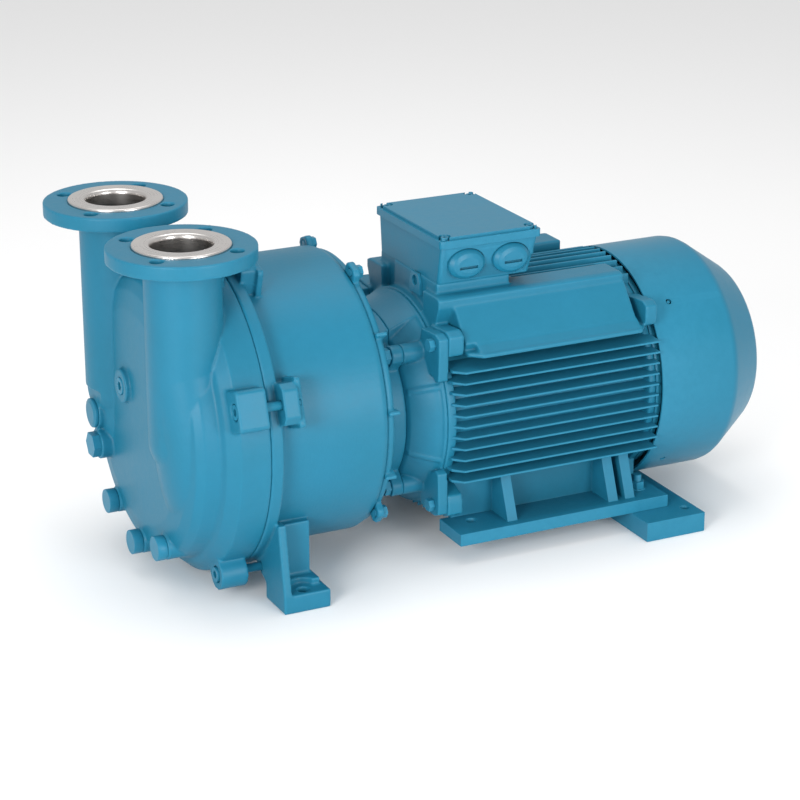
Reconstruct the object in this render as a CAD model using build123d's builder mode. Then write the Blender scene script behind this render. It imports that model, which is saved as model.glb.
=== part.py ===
"""Liquid ring vacuum pump, close coupled to a foot mounted motor.

Millimetres, +Z up, X along the shaft from the pump to the motor, floor at Z = 0.
X = 0 is the line of the pump foot holes, Y = 0 is the plane of the shaft.
"""
import math
import os

from build123d import *

os.makedirs("parts", exist_ok=True)

# Driving heights: motor axis height 160 on a sole bar 27 high
BAR_H = 27.0
AXIS_H = 160.0
MZ = BAR_H + AXIS_H
ECC = 27.0
CZ = MZ + ECC

# Pump casing and front cover
RIM_R = 207.4
BARREL_R = 188.0
BORE_R = 178.0
X_PART = -46.0
X_RIM = -30.0
X_CAS = 122.5
X_FACE = -147.0
BELLY_R = 187.0

# Ports: nominal 65 flanges
PORT_X = -120.0
PORT_Y = 114.5
FLANGE_D = 185.0
FLANGE_T = 18.0
FLANGE_Z = 470.0
FLANGE_PCD = 145.0
FLANGE_HOLE = 18.0
PORT_OD = 96.0
PIPE_END = 220.0
PORT_BORE = 76.0
RING_D = 122.0
RING_PROUD = 3.0

# Tie bolts between cover and casing
TIE_R = 218.0
TIE_ANGLES = (18, 72, 108, 162, 234, 306)
TIE_D = 12.0

# Bolts of the drive side cover
DRIVE_ANGLES = (112, 68, 222, 318)
RIB_ANGLES = (142, 173, 201, 38, 7, -21)

# Neck between the drive side cover and the motor
NECK_R = 112.0
NECK_BOLT_R = 128.0

# Rotor
IMP_R = 149.0
IMP_X0 = -35.6
IMP_X1 = 96.0
VANES = 14
SHAFT_R = 21.0

# Motor
FRAME_X0 = 228.0
FRAME_X1 = 538.0
FRAME_R = 134.0
STATOR_R = 127.0
FIN_Y = 157.0
COWL_R = 159.5
COWL_X0 = 542.0
COWL_X1 = 722.0
FOOT_A = 254.0
FOOT_B = 254.0
FOOT_X = 271.6
FOOT_Y1 = 166.0
FOOT_T = 17.0
BAR_X0 = 496.0
BAR_X1 = 586.0
BAR_Y = 206.0
BAR_HOLE_X = 571.0
BAR_HOLE_Y = 179.0
PUMP_FOOT_Y = 190.0
COR_Y = 127.0
COR_Z = 110.0
REAR_BOLT_R = 139.0

# Terminal box
BOX_X0 = 240.0
BOX_X1 = 387.0
BOX_Y = 96.0
BOX_Z0 = 362.0
LID_Z0 = 411.0
LID_Z1 = 425.0
PLUG_X = (280, 345)
PLUG_Z = 386.0


def rod(x0, x1, r, y=0.0, z=MZ, mode=Mode.ADD):
    """Round bar along X."""
    with Locations(Location(((x0 + x1) / 2, y, z), (0, 90, 0))):
        Cylinder(r, x1 - x0, mode=mode)


def post(x, y, z0, z1, r, mode=Mode.ADD):
    """Round bar along Z."""
    with Locations((x, y, (z0 + z1) / 2)):
        Cylinder(r, z1 - z0, mode=mode)


def block(x0, x1, y0, y1, z0, z1, mode=Mode.ADD):
    """Box between two corners."""
    with Locations(((x0 + x1) / 2, (y0 + y1) / 2, (z0 + z1) / 2)):
        Box(x1 - x0, y1 - y0, z1 - z0, mode=mode)


def turned(points, z, mode=Mode.ADD):
    """Outline of (x, radius) points turned about the X line at height z."""
    with BuildSketch(Plane(origin=(0, 0, z), x_dir=(1, 0, 0), z_dir=(0, -1, 0))) as outline:
        Polygon(*points, align=None)
    revolve(outline.sketch, axis=Axis((0, 0, z), (1, 0, 0)), mode=mode)


def slab_yz(x0, x1, points, mode=Mode.ADD):
    """Outline of (y, z) points drawn out along X."""
    with BuildSketch(Plane(origin=(x0, 0, 0), x_dir=(0, 1, 0), z_dir=(1, 0, 0))) as outline:
        Polygon(*points, align=None)
    extrude(outline.sketch, amount=x1 - x0, dir=(1, 0, 0), mode=mode)


def slab_xy(z0, z1, points, mode=Mode.ADD):
    """Outline of (x, y) points drawn out along Z."""
    with BuildSketch(Plane.XY.offset(z0)) as outline:
        Polygon(*points, align=None)
    extrude(outline.sketch, amount=z1 - z0, dir=(0, 0, 1), mode=mode)


def slab_xz(y0, y1, points, mode=Mode.ADD):
    """Outline of (x, z) points drawn out along Y."""
    with BuildSketch(Plane(origin=(0, y0, 0), x_dir=(1, 0, 0), z_dir=(0, -1, 0))) as outline:
        Polygon(*points, align=None)
    extrude(outline.sketch, amount=y1 - y0, dir=(0, 1, 0), mode=mode)


def hexagon_x(x0, x1, across, y, z, mode=Mode.ADD):
    """Hexagon bar along X."""
    r = across / math.sqrt(3)
    pts = [(y + r * math.cos(math.radians(60 * i)), z + r * math.sin(math.radians(60 * i))) for i in range(6)]
    slab_yz(x0, x1, pts, mode)


def hexagon_z(z0, z1, across, x, y, mode=Mode.ADD):
    """Hexagon bar along Z."""
    r = across / math.sqrt(3)
    pts = [(x + r * math.cos(math.radians(60 * i)), y + r * math.sin(math.radians(60 * i))) for i in range(6)]
    slab_xy(z0, z1, pts, mode)


def polar(r, deg, z=MZ):
    """(y, z) of a point at an angle from +Y toward +Z."""
    return r * math.cos(math.radians(deg)), z + r * math.sin(math.radians(deg))


def lug(x0, x1, deg, half, r_in, r_out, chamfer, z=CZ, mode=Mode.ADD):
    """Bolt lug standing radially out of a rim, its outer corners cut off."""
    rad = math.radians(deg)
    c, s = math.cos(rad), math.sin(rad)
    flat = [(r_in, -half), (r_out - chamfer, -half), (r_out, -half + chamfer)]
    flat += [(r_out, half - chamfer), (r_out - chamfer, half), (r_in, half)]
    slab_yz(x0, x1, [(a * c - b * s, z + a * s + b * c) for a, b in flat], mode)


def save(part, name):
    """Label one piece and write it."""
    part.label = name
    export_step(part, f"parts/{name}.step")


def flange_holes(cx, cy):
    """Four flange holes straddling the centre lines."""
    for deg in (45, 135, 225, 315):
        a = math.radians(deg)
        hx = cx + FLANGE_PCD / 2 * math.cos(a)
        hy = cy + FLANGE_PCD / 2 * math.sin(a)
        post(hx, hy, FLANGE_Z - FLANGE_T - 1, FLANGE_Z + 1, FLANGE_HOLE / 2, Mode.SUBTRACT)


def sector(r0, r1, a0, a1, z=MZ, steps=8):
    """Outline of a ring sector as (y, z) points."""
    outer = [polar(r1, a0 + (a1 - a0) * i / steps, z) for i in range(steps + 1)]
    inner = [polar(r0, a1 + (a0 - a1) * i / steps, z) for i in range(steps + 1)]
    return outer + inner


def bulge(s):
    """Swelling of the port chamber below one pipe, as ellipses lofted upward."""
    rings = []
    for z, x, y, a, b in ((92, -92, 96, 30, 40), (128, -100, 110, 45, 53), (186, -108, 119, 51, 60),
                          (256, -115, 118, 50, 56), (330, -120, 114.5, 46, 46)):
        with BuildSketch(Plane.XY.offset(z)) as ring:
            with Locations((x, s * y)):
                Ellipse(a, b)
        rings.append(ring.sketch.faces()[0])
    loft(rings)


def cover_outside():
    """Outer shape of the front cover."""
    turned([(X_PART, 0), (X_PART, RIM_R - 1.2), (X_PART - 1.2, RIM_R), (-86.5, RIM_R), (-101, 194.5),
            (-105, BELLY_R), (-124, BELLY_R - 3), (-134, 178), (-141, 165), (-145, 140), (X_FACE, 0)], CZ)
    for s in (-1, 1):
        post(PORT_X, s * PORT_Y, PIPE_END, FLANGE_Z - FLANGE_T, PORT_OD / 2)
        with Locations((PORT_X, s * PORT_Y, PIPE_END)):
            Sphere(PORT_OD / 2)
        post(PORT_X, s * PORT_Y, FLANGE_Z - FLANGE_T, FLANGE_Z, FLANGE_D / 2)
        bulge(s)
    for deg in TIE_ANGLES[:4]:
        lug(-95, -56, deg, 26, 180, TIE_R + 14, 3.5)
    for deg in TIE_ANGLES[4:]:
        y, z = polar(TIE_R, deg, CZ)
        lug(-92, -56, deg, 19, 180, TIE_R + 4, 3)
        rod(-92, -56, 20, y, z)


def cover_bosses():
    """Plug bosses on the face of the cover."""
    block(-175, -160, 70, 165, 120, 222, Mode.SUBTRACT)
    rod(-154, -135, 22, 30, 249)
    rod(-162, -130, 21, 112, 187)
    rod(-162, -130, 20, 104, 146)
    for deg in (238.6, 270, 301.4):
        y, z = polar(169, deg, CZ)
        rod(-146, -115, 16.5, y, z)


def cover_inside():
    """Port chambers, bolt and plug holes of the front cover."""
    for s in (-1, 1):
        post(PORT_X, s * PORT_Y, 232, FLANGE_Z + 1, PORT_BORE / 2 + 3, Mode.SUBTRACT)
        inner = [(s * 12, 96), (s * 80, 76), (s * 130, 104), (s * 156, 150), (s * 160, 214), (s * 150, 270),
                 (s * 110, 330), (s * 12, 340)]
        slab_yz(-130, X_PART - 12, inner, Mode.SUBTRACT)
        slab_yz(X_PART - 13, X_PART + 1, sector(70, 122, 90 - s * 20, 90 - s * 130), Mode.SUBTRACT)
        flange_holes(PORT_X, s * PORT_Y)
    for deg in TIE_ANGLES:
        y, z = polar(TIE_R, deg, CZ)
        rod(-110, -50, TIE_D / 2, y, z, Mode.SUBTRACT)
        rod(-110, -86, 11, y, z, Mode.SUBTRACT)


def build_front_cover():
    """Dished front casting with the two port pipes and their flanges."""
    with BuildPart() as front_cover:
        cover_outside()
        cover_bosses()
        cover_inside()
        rod(-160, -142, 11, 30, 249, Mode.SUBTRACT)
        rod(-170, -150, 15, 112, 187, Mode.SUBTRACT)
        rod(-170, -144, 10, 104, 146, Mode.SUBTRACT)
        for deg in (238.6, 270, 301.4):
            y, z = polar(169, deg, CZ)
            rod(-150, -130, 8, y, z, Mode.SUBTRACT)
        for s in (-1, 1):
            post(PORT_X, s * PORT_Y, FLANGE_Z - 5, FLANGE_Z + 1, RING_D / 2, Mode.SUBTRACT)
    save(front_cover.part, "front_cover")


def build_port_rings():
    """Stainless flange rings with a flared mouth and a short sleeve."""
    for s, name in ((1, "suction_port_ring"), (-1, "discharge_port_ring")):
        with BuildPart() as port_ring:
            top = FLANGE_Z + RING_PROUD
            r0 = PORT_BORE / 2
            pts = [(r0, FLANGE_Z - 60), (r0 + 3, FLANGE_Z - 60), (r0 + 3, FLANGE_Z - 5), (RING_D / 2, FLANGE_Z - 5),
                   (RING_D / 2, top - 1.5), (RING_D / 2 - 1.5, top), (r0 + 4, top), (r0 + 1.2, top - 1.2),
                   (r0, top - 4.5)]
            with BuildSketch(Plane.XZ) as outline:
                Polygon(*pts, align=None)
            with Locations((PORT_X, s * PORT_Y, 0)):
                add(revolve(outline.sketch, axis=Axis.Z, mode=Mode.PRIVATE))
        save(port_ring.part, name)


def build_casing():
    """Casing ring with its rim, bolt lugs and both pump feet."""
    with BuildPart() as casing_body:
        turned([(X_PART, 190.5), (X_PART, RIM_R - 1.2), (X_PART + 1.2, RIM_R), (X_RIM, RIM_R), (-27, BARREL_R + 6), (-22, BARREL_R),
                (116, BARREL_R), (121, BARREL_R - 2), (X_CAS, BARREL_R - 5), (X_CAS, BORE_R), (-36, BORE_R),
                (-36, 190.5)], CZ)
        for deg in TIE_ANGLES[:4]:
            lug(-34, -13, deg, 26, 184, TIE_R + 12, 9)
            lug(-14, -6, deg, 32, 184, TIE_R + 6, 3)
        for s in (-1, 1):
            pump_foot(s)
        turned([(X_PART - 1, 196.4), (X_PART - 1, 201.6), (-41, 201.6), (-41, 196.4)], CZ, Mode.SUBTRACT)
        rod(-37, X_CAS + 1, BORE_R, 0, CZ, Mode.SUBTRACT)
        for deg in TIE_ANGLES:
            y, z = polar(TIE_R, deg, CZ)
            rod(-50, -8, TIE_D / 2, y, z, Mode.SUBTRACT)
    save(casing_body.part, "casing_body")


def pump_foot(s):
    """One casing foot: front plate, web and pad."""
    slab_yz(-32, -21, [(s * 205, 0), (s * 145, 0), (s * 145, 22), (s * 122, 32), (s * 100, 60), (s * 100, 80),
                       (s * 150, 112), (s * 189, 114), (s * 205, 24)])
    block(-22, 22, min(s * 148, s * 164), max(s * 148, s * 164), 0, 104)
    block(-32, 32, min(s * 148, s * 205), max(s * 148, s * 205), 0, 24)
    block(-22, 26, min(s * 150, s * 184), max(s * 150, s * 184), 20, 33)
    post(0, s * PUMP_FOOT_Y, -1, 40, 8, Mode.SUBTRACT)
    post(0, s * PUMP_FOOT_Y, 24, 40, 17, Mode.SUBTRACT)


def build_cover_seal():
    """Seal ring between the cover and the casing."""
    with BuildPart() as cover_seal:
        with Locations(Location((X_PART + 2.45, 0, CZ), (0, 90, 0))):
            Torus(199, 2.4)
    save(cover_seal.part, "cover_seal")


def build_port_plate():
    """Flat plate with the suction and discharge openings."""
    with BuildPart() as port_plate:
        rod(X_PART, -36, 190, 0, CZ)
        slab_yz(X_PART - 1, -35, sector(74, 120, 66, -36), Mode.SUBTRACT)
        slab_yz(X_PART - 1, -35, sector(84, 118, 118, 170), Mode.SUBTRACT)
        for deg in (186, 198, 210, 222):
            y, z = polar(102, deg)
            rod(X_PART - 1, -35, 6, y, z, Mode.SUBTRACT)
    save(port_plate.part, "port_plate")


def build_valve_plate():
    """Flexible strip over the small discharge holes."""
    with BuildPart() as valve_plate:
        slab_yz(X_PART - 1.5, X_PART, sector(92, 112, 180, 216))
    save(valve_plate.part, "valve_plate")


def vane(deg):
    """One curved impeller vane as an outline of (y, z) points."""
    left, right = [], []
    for i in range(7):
        t = i / 6
        r = 54 + (IMP_R - 54) * t
        a = deg + 24 * t * t
        w = math.degrees(2.6 / r)
        left.append(polar(r, a - w))
        right.append(polar(r, a + w))
    return left + right[::-1]


def build_impeller():
    """Shrouded impeller with forward curved vanes."""
    with BuildPart() as impeller:
        turned([(IMP_X0, 0), (IMP_X0, 56), (60, 62), (88, 70), (88, IMP_R), (IMP_X1, IMP_R), (IMP_X1, 0)], MZ)
        for k in range(VANES):
            slab_yz(IMP_X0, 88.5, vane(k * 360 / VANES))
        rod(IMP_X0 - 1, IMP_X1 + 1, SHAFT_R + 0.03, mode=Mode.SUBTRACT)
        rod(IMP_X0 - 1, -14, 30, mode=Mode.SUBTRACT)
        rod(86, IMP_X1 + 1, 40, mode=Mode.SUBTRACT)
        block(-14, 87, -6.03, 6.03, MZ, MZ + 24.3, Mode.SUBTRACT)
    save(impeller.part, "impeller")


def build_impeller_fixings():
    """Key and nut that hold the impeller on the shaft."""
    with BuildPart() as impeller_key:
        block(0, 60, -6, 6, MZ + 16, MZ + 24)
    save(impeller_key.part, "impeller_key")
    with BuildPart() as impeller_nut:
        hexagon_x(-33, -14, 42, 0, MZ)
        rod(-34, -13, 15.05, mode=Mode.SUBTRACT)
    save(impeller_nut.part, "impeller_nut")


def build_shaft():
    """Shaft shared by the motor and the impeller."""
    with BuildPart() as motor_shaft:
        turned([(-35, 0), (-35, 13.5), (-34, 15), (-14, 15), (-14, SHAFT_R), (180, SHAFT_R), (180, 22.5),
                (204, 22.5), (229.5, 22.5), (232, 27), (276, 27), (276, 29), (484, 29), (484, 25), (513, 25),
                (513, 22.5), (532.5, 22.5), (534, 20), (622, 20), (624, 18), (624, 0)], MZ)
        block(0, 60, -6.02, 6.02, MZ + 16, MZ + 30, Mode.SUBTRACT)
        turned([(611, 18.6), (611, 30), (613, 30), (613, 18.6)], MZ, Mode.SUBTRACT)
    save(motor_shaft.part, "motor_shaft")


def build_seal():
    """Mechanical seal: fixed seat, turning ring and spring."""
    with BuildPart() as seal_seat:
        turned([(108, 23), (108, 34.9), (122, 34.9), (122, 23)], MZ)
    save(seal_seat.part, "seal_seat")
    with BuildPart() as seal_ring:
        turned([(100.4, 21.05), (100.4, 29), (107.9, 29), (107.9, 21.05)], MZ)
    save(seal_ring.part, "seal_ring")
    with BuildPart() as seal_spring:
        for k in range(3):
            with Locations(Location((90 + k * 3.6, 0, MZ), (0, 90, 0))):
                Torus(27, 1.2)
        turned([(86.5, 24), (86.5, 30), (88.5, 30), (88.5, 24)], MZ)
        turned([(98.6, 24), (98.6, 30), (100.3, 30), (100.3, 24)], MZ)
        block(87, 99, -2, 2, MZ + 25, MZ + 28)
    save(seal_spring.part, "seal_spring")


def build_drive_cover():
    """Drive side cover: spigot disc, seal housing and the neck to the motor."""
    with BuildPart() as drive_cover:
        turned([(96.6, 0), (96.6, 177.6), (X_CAS, 177.6), (X_CAS, 183), (130, 183), (134, 179), (134, 0)], CZ)
        turned([(130, 0), (130, 122), (140, NECK_R), (184, NECK_R), (184, 0)], MZ)
        roof_web(130, 113, 184, 128)
        for deg in (45, 135, 225, 315):
            y, z = polar(NECK_BOLT_R, deg)
            rod(168, 184, 13, y, z)
            lug(168, 184, deg, 13, 100, NECK_BOLT_R, 1, MZ)
        turned([(142, 50), (142, 104), (190, 104), (190, 50)], MZ, Mode.SUBTRACT)
        rod(150, 190, 51, mode=Mode.SUBTRACT)
        block(142, 176, -24, 24, 60, 100, Mode.SUBTRACT)
        for deg in RIB_ANGLES:
            rad = math.radians(deg)
            c, q = math.cos(rad), math.sin(rad)
            pts = [(a * c - b * q, CZ + a * q + b * c) for a, b in ((120, -2.5), (190, -2.5), (190, 2.5), (120, 2.5))]
            slab_yz(X_CAS, 138, pts)
        for deg in DRIVE_ANGLES:
            lug(X_CAS, 132, deg, 14, 150, 200, 5)
        rod(90, 107, 38, mode=Mode.SUBTRACT)
        rod(106, 122, 35, mode=Mode.SUBTRACT)
        rod(120, 160, 24, mode=Mode.SUBTRACT)
        rod(134, 190, 46, mode=Mode.SUBTRACT)
        for deg in DRIVE_ANGLES:
            y, z = polar(190, deg, CZ)
            rod(X_CAS - 1, 140, 5.5, y, z, Mode.SUBTRACT)
            rod(132, 150, 9, y, z, Mode.SUBTRACT)
        turned([(108, 174.4), (108, 178), (113, 178), (113, 174.4)], CZ, Mode.SUBTRACT)
        for deg in (45, 135, 225, 315):
            y, z = polar(NECK_BOLT_R, deg)
            rod(160, 190, 6.2, y, z, Mode.SUBTRACT)
    save(drive_cover.part, "drive_cover")


def roof_web(x0, r0, x1, r1):
    """Raised web along the top of the neck, its surface flaring toward the motor."""
    with BuildPart(mode=Mode.PRIVATE) as web:
        turned([(x0, 90), (x0, r0), (x1, r1), (x1, 90)], MZ)
        block(x0 - 1, x1 + 1, -59, 59, MZ + 60, MZ + 160, Mode.INTERSECT)
    add(web.part)


def build_drive_cover_fixings():
    """Seal ring, hexagon bolts and neck bolts of the drive side cover."""
    with BuildPart() as drive_cover_seal:
        with Locations(Location((110.5, 0, CZ), (0, 90, 0))):
            Torus(176, 1.6)
    save(drive_cover_seal.part, "drive_cover_seal")
    with BuildPart() as drive_cover_bolts:
        for deg in DRIVE_ANGLES:
            y, z = polar(190, deg, CZ)
            hexagon_x(132, 139, 15, y, z)
            rod(X_CAS, 132, 5, y, z)
    save(drive_cover_bolts.part, "drive_cover_bolts")
    with BuildPart() as neck_bolts:
        for deg in (45, 135, 225, 315):
            y, z = polar(NECK_BOLT_R, deg)
            hexagon_x(160, 168, 19, y, z)
            rod(168, 200, 5.9, y, z)
    save(neck_bolts.part, "neck_bolts")


def build_tie_bolts():
    """Long tie bolts with socket heads, screwed into the casing lugs."""
    with BuildPart() as tie_bolts:
        for deg in TIE_ANGLES:
            y, z = polar(TIE_R, deg, CZ)
            rod(-86, -9, 5.8, y, z)
            rod(-94, -86, 9.5, y, z)
            hexagon_x(-95, -90, 9, y, z, Mode.SUBTRACT)
    save(tie_bolts.part, "tie_bolts")


def build_plugs():
    """Screwed plugs on the front cover."""
    with BuildPart() as socket_plug:
        rod(-155, -142, 11, 30, 249)
        hexagon_x(-156, -149, 10, 30, 249, Mode.SUBTRACT)
    save(socket_plug.part, "socket_plug")
    with BuildPart() as round_plug:
        turned([(-168, 0), (-168, 14), (-166.5, 19.5), (-162, 19.5), (-162, 14.9), (-150, 14.9), (-150, 0)], 0)
    save(Location((0, 112, 187)) * round_plug.part, "round_plug")
    with BuildPart() as hex_plug:
        hexagon_x(-172, -162, 30, 104, 146)
        rod(-162, -148, 9.9, 104, 146)
    save(hex_plug.part, "hex_plug")
    with BuildPart() as drain_plugs:
        for deg in (238.6, 270, 301.4):
            y, z = polar(169, deg, CZ)
            rod(-159, -146, 16, y, z)
            rod(-146, -130, 8, y, z)
    save(drain_plugs.part, "drain_plugs")


def build_drive_shield():
    """Bell shaped motor shield that carries the neck of the pump."""
    with BuildPart() as drive_end_shield:
        turned([(184, 46), (184, 112), (187, 117), (193, 121), (215, 136), (222, 140), (224, 143.5),
                (FRAME_X0, 143.5), (FRAME_X0, STATOR_R - 0.2), (233, STATOR_R - 0.2), (233, 121), (226, 117),
                (204, 105), (204, 62), (234, 60), (234, 50), (206, 50), (206, 46)], MZ)
        roof_web(184, 128, 223, 142)
        for deg in (45, 135, 225, 315):
            y, z = polar(NECK_BOLT_R, deg)
            rod(184, 212, 13, y, z)
        for s in (-1, 1):
            for t in (-1, 1):
                shield_ear(s, t)
            for deg in (22, -20):
                shield_rib(s, deg)
        rod(150, 207, 46, mode=Mode.SUBTRACT)
        for deg in (45, 135, 225, 315):
            y, z = polar(NECK_BOLT_R, deg)
            rod(180, 202, 6.2, y, z, Mode.SUBTRACT)
    save(drive_end_shield.part, "drive_end_shield")


def shield_rib(s, deg):
    """Thin rib along the bell of the drive end shield."""
    with BuildPart(mode=Mode.PRIVATE) as rib:
        turned([(186, 100), (186, 118.5), (193, 123.5), (215, 138.5), (224, 143), (224, 100)], MZ)
        slab_yz(180, 230, [(s * a, b) for a, b in ear_strip(deg)], Mode.INTERSECT)
    add(rib.part)


def ear_strip(deg):
    """Radial strip 6 wide as (y, z) points."""
    c, q = math.cos(math.radians(deg)), math.sin(math.radians(deg))
    return [(a * c - b * q, MZ + a * q + b * c) for a, b in ((80, -3), (160, -3), (160, 3), (80, 3))]


def shield_ear(s, t):
    """Bolted corner ear of the drive end shield with its web."""
    y, z = s * COR_Y, MZ + t * COR_Z
    slab_yz(214, FRAME_X0, [(s * 84, z - t * 22), (s * 134, z - t * 50), (s * 142, z - t * 46), (s * 144, z - t * 4),
                            (s * 143, z + t * 10), (s * 131, z + t * 15), (s * 92, z + t * 12)])
    rod(200, FRAME_X0 + 1, 6, y, z, Mode.SUBTRACT)
    rod(200, 214, 9.5, y, z, Mode.SUBTRACT)


def build_bearing(side, x0, x1, r_in, r_out, ball_r, count):
    """Ball bearing as outer ring, inner ring, and balls in a cage."""
    mid = (r_in + r_out) / 2
    xm = (x0 + x1) / 2
    wall = (r_out - r_in) * 0.2
    with BuildPart() as outer:
        turned([(x0, r_out - wall), (x0, r_out), (x1, r_out), (x1, r_out - wall), (xm + ball_r * 0.6, r_out - wall),
                (xm + ball_r * 0.4, mid + ball_r + 0.4), (xm - ball_r * 0.4, mid + ball_r + 0.4),
                (xm - ball_r * 0.6, r_out - wall)], MZ)
    save(outer.part, f"bearing_{side}_outer")
    with BuildPart() as inner:
        turned([(x0, r_in + 0.03), (x0, r_in + wall), (xm - ball_r * 0.6, r_in + wall),
                (xm - ball_r * 0.4, mid - ball_r - 0.1), (xm + ball_r * 0.4, mid - ball_r - 0.1),
                (xm + ball_r * 0.6, r_in + wall), (x1, r_in + wall), (x1, r_in + 0.03)], MZ)
    save(inner.part, f"bearing_{side}_inner")
    with BuildPart() as balls:
        turned([(xm - 2, mid - 2), (xm - 2, mid + 2), (xm + 2, mid + 2), (xm + 2, mid - 2)], MZ)
        for k in range(count):
            y, z = polar(mid, k * 360 / count)
            with Locations((xm, y, z)):
                Sphere(ball_r)
    save(balls.part, f"bearing_{side}_balls")


def frame_shoulder(s):
    """Sloping smooth panel, lip and ledge on one upper flank of the frame."""
    slab_yz(254, 508, [(s * 96, 276), (s * 132, 280), (s * 140, 295), (s * 107, 336), (s * 100, 339), (s * 60, 330),
                       (s * 60, 290)])
    with BuildSketch(Plane.XY.offset(278)) as lip:
        Polygon((256, s * 90), (256, s * 142), (272, s * FIN_Y), (508, s * FIN_Y), (520, s * 142), (520, s * 90),
                align=None)
    extrude(lip.sketch, amount=6, dir=(0, 0, 1))
    slab_yz(270, 510, [(s * 120, 283.5), (s * (FIN_Y - 3), 283.5), (s * 139, 294), (s * 120, 294)])
    slab_yz(232, 506, [(s * 60, 300), (s * 92, 300), (s * 107, 336), (s * 107, 346), (s * 100, 349),
                       (s * 60, 349)])


def build_motor_frame():
    """Finned motor housing with terminal box seat and corner lugs."""
    with BuildPart() as motor_frame:
        rod(FRAME_X0, FRAME_X1, FRAME_R)
        rod(FRAME_X0, 240, 145)
        rod(528, FRAME_X1, 149)
        for k in range(-5, 6):
            z = MZ + 15 * k
            for s in (-1, 1):
                slab_xy(z - 2, z + 2, [(230, s * 90), (233, s * 144), (246, s * FIN_Y), (FRAME_X1, s * FIN_Y),
                                       (FRAME_X1, s * 90)])
        for k in range(10):
            y = -67.5 + 15 * k
            top = MZ + math.sqrt(161 ** 2 - y * y) - 1
            block(367, FRAME_X1, y - 2, y + 2, 290, top)
        for k in range(14):
            y = -97.5 + 15 * k
            low = 42 + 0.0012 * y * y
            block(230, FRAME_X1, y - 2, y + 2, low, 110)
        for s in (-1, 1):
            frame_shoulder(s)
        slab_xz(-86, 40, [(240, 300), (346, 300), (346, BOX_Z0), (240, BOX_Z0)])
        slab_xz(39, 86, [(243, 300), (346, 300), (346, BOX_Z0), (243, BOX_Z0)])
        block(346, 368, -86, 86, 290, 346)
        for y in (-COR_Y, COR_Y):
            for z in (MZ - COR_Z, MZ + COR_Z):
                corner_lug(FRAME_X0, 250, y, z)
                if z > MZ:
                    corner_lug(520, FRAME_X1, y, z)
        rod(FRAME_X0 - 1, FRAME_X1 + 1, STATOR_R, mode=Mode.SUBTRACT)
        block(300, 330, -20, 20, 300, 380, Mode.SUBTRACT)
    save(motor_frame.part, "motor_frame")


def corner_lug(x0, x1, y, z):
    """Bolt lug at one corner of the frame."""
    s = 1 if y > 0 else -1
    t = 1 if z > MZ else -1
    slab_yz(x0, x1, [(s * 90, z - t * 26), (s * 120, z - t * 22), (s * 143, z - t * 14), (s * 145, z - t * 4),
                     (s * 145, z + t * 12), (s * 134, z + t * 18), (s * 90, z + t * 14)])


def build_shield_bolts():
    """Hexagon bolts at the corners of both motor shields."""
    with BuildPart() as shield_bolts:
        for y in (-COR_Y, COR_Y):
            for z in (MZ - COR_Z, MZ + COR_Z):
                hexagon_x(206, 214, 15, y, z)
                rod(214, FRAME_X0, 5.8, y, z)
        for deg in (45, 135, 225, 315):
            y, z = polar(REAR_BOLT_R, deg)
            hexagon_x(545, 552, 15, y, z)
            rod(FRAME_X1, 545, 5, y, z)
    save(shield_bolts.part, "shield_bolts")


def build_rear_shield():
    """Motor rear end shield under the fan cowl."""
    with BuildPart() as rear_end_shield:
        turned([(530, 121), (530, STATOR_R - 0.2), (FRAME_X1, STATOR_R - 0.2), (FRAME_X1, 149), (546, 149),
                (552, 126), (548, 60), (540, 28), (536, 28), (536, 42.5), (512, 42.5), (512, 50), (536, 56),
                (536, 118)], MZ)
        for deg in (45, 135, 225, 315):
            y, z = polar(REAR_BOLT_R, deg)
            rod(FRAME_X1 - 9, 548, 5.4, y, z, Mode.SUBTRACT)
            rod(545, 560, 9.5, y, z, Mode.SUBTRACT)
    save(rear_end_shield.part, "rear_end_shield")


def build_stator():
    """Laminated stator core with slots, and its windings."""
    with BuildPart() as stator_core:
        rod(290, 470, STATOR_R)
        rod(289, 471, 84, mode=Mode.SUBTRACT)
        for k in range(24):
            slab_yz(289, 471, sector(86, 104, 15 * k - 2.6, 15 * k + 2.6, steps=1), Mode.SUBTRACT)
            slab_yz(289, 471, sector(80, 88, 15 * k - 1, 15 * k + 1, steps=1), Mode.SUBTRACT)
    save(stator_core.part, "stator_core")
    with BuildPart() as stator_windings:
        for x0, x1 in ((262, 290), (470, 498)):
            turned([(x0, 92), (x0, 112), (x0 + 6, 118), (x1 - 6, 118), (x1, 112), (x1, 92), (x1 - 6, 87),
                    (x0 + 6, 87)], MZ)
        for k in range(24):
            slab_yz(290, 470, sector(89, 103.6, 15 * k - 2.2, 15 * k + 2.2, steps=1))
    save(stator_windings.part, "stator_windings")


def build_rotor_core():
    """Cage rotor core with end rings and cooling blades."""
    with BuildPart() as rotor_core:
        rod(290, 470, 82.5)
        turned([(278, 58), (278, 80), (290, 80), (290, 58)], MZ)
        turned([(470, 58), (470, 80), (482, 80), (482, 58)], MZ)
        rod(289, 471, 29.03, mode=Mode.SUBTRACT)
        for k in range(8):
            y, z = polar(46, 45 * k)
            rod(289, 471, 8, y, z, Mode.SUBTRACT)
    save(rotor_core.part, "rotor_core")


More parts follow.
